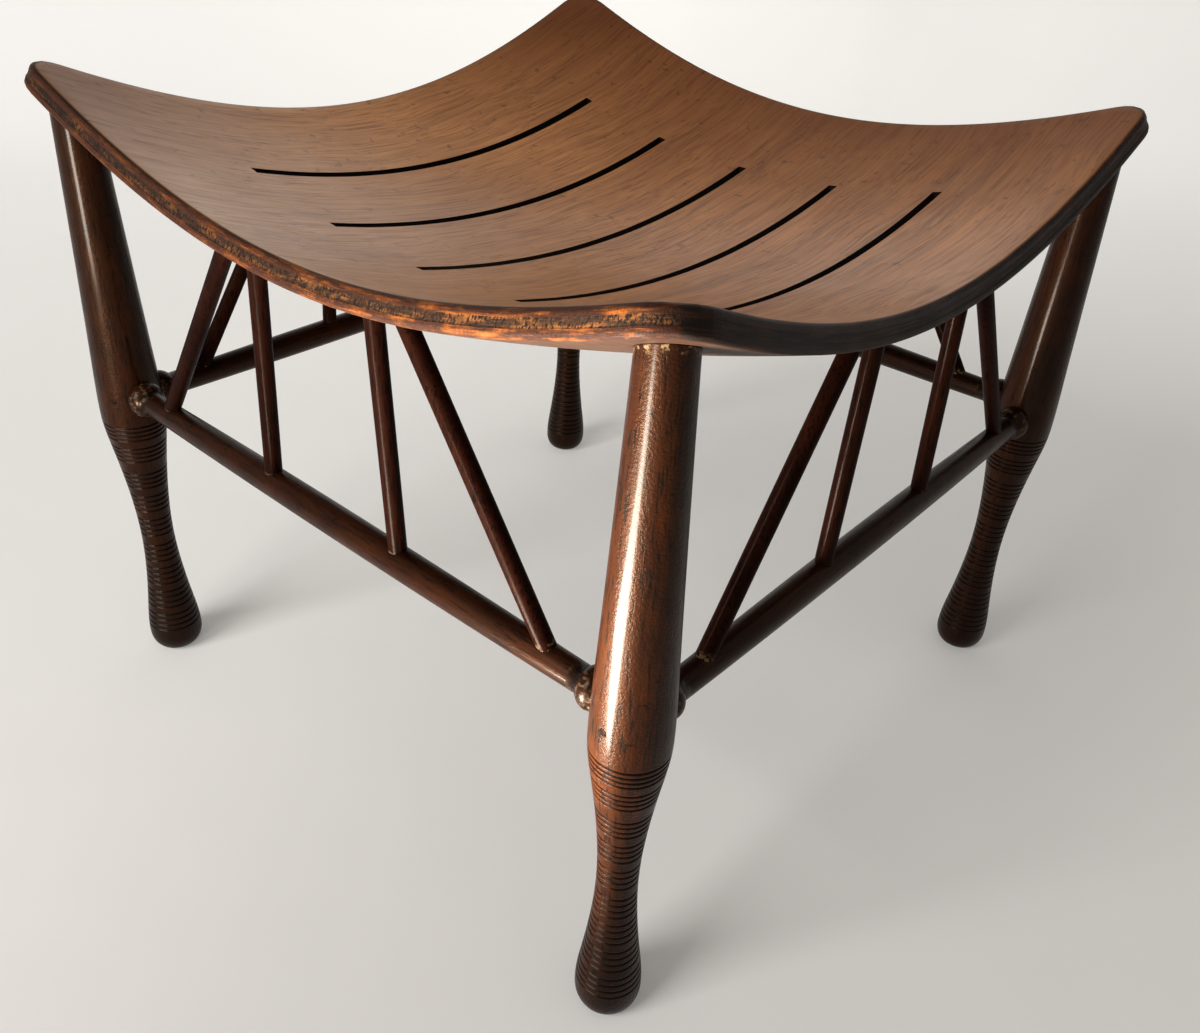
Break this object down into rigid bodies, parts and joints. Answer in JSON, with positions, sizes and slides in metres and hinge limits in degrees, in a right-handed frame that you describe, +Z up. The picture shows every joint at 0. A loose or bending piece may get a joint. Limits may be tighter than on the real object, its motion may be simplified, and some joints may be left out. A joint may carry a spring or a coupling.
{
  "type": "dished square stool",
  "caption": "Low square stool with a dished, slotted three-ply seat on ringed turned legs, joined by rails with slanting spindles up to the seat.",
  "frame": {"origin": "on the floor, under the middle of the seat", "axes": "+Z up; +X across the seat's slots, +Y along the slots and along the grain of the face veneers"},
  "size_m": [0.4368, 0.4378, 0.3797],
  "materials": {
    "seat_face": "open-grain reddish-brown veneer with a worn satin polish",
    "seat_core": "dark stained core ply, showing only at the edges",
    "seat_under": "dull brown-grey veneer",
    "turned_leg": "glossy dark red-brown polish, worn lighter on the rings",
    "turned_rail": "glossy dark red-brown polish",
    "spindle": "glossy near-black red-brown polish",
    "peg": "dark end grain, flush with the leg"
  },
  "bodies": {
    "root": {"seat_top_veneer": "seat_face", "seat_core": "seat_core", "seat_under_veneer": "seat_under", "leg_front_left": "turned_leg", "leg_front_right": "turned_leg", "leg_back_right": "turned_leg", "leg_back_left": "turned_leg", "rail_front": "turned_rail", "rail_back": "turned_rail", "rail_left": "turned_rail", "rail_right": "turned_rail", "spindle_front_1": "spindle", "spindle_front_2": "spindle", "spindle_front_3": "spindle", "spindle_front_4": "spindle", "spindle_back_1": "spindle", "spindle_back_2": "spindle", "spindle_back_3": "spindle", "spindle_back_4": "spindle", "spindle_left_1": "spindle", "spindle_left_2": "spindle", "spindle_left_3": "spindle", "spindle_left_4": "spindle", "spindle_right_1": "spindle", "spindle_right_2": "spindle", "spindle_right_3": "spindle", "spindle_right_4": "spindle", "tenon_peg_front_left": "peg", "tenon_peg_front_right": "peg", "tenon_peg_back_right": "peg", "tenon_peg_back_left": "peg"}
  },
  "joints": []
}
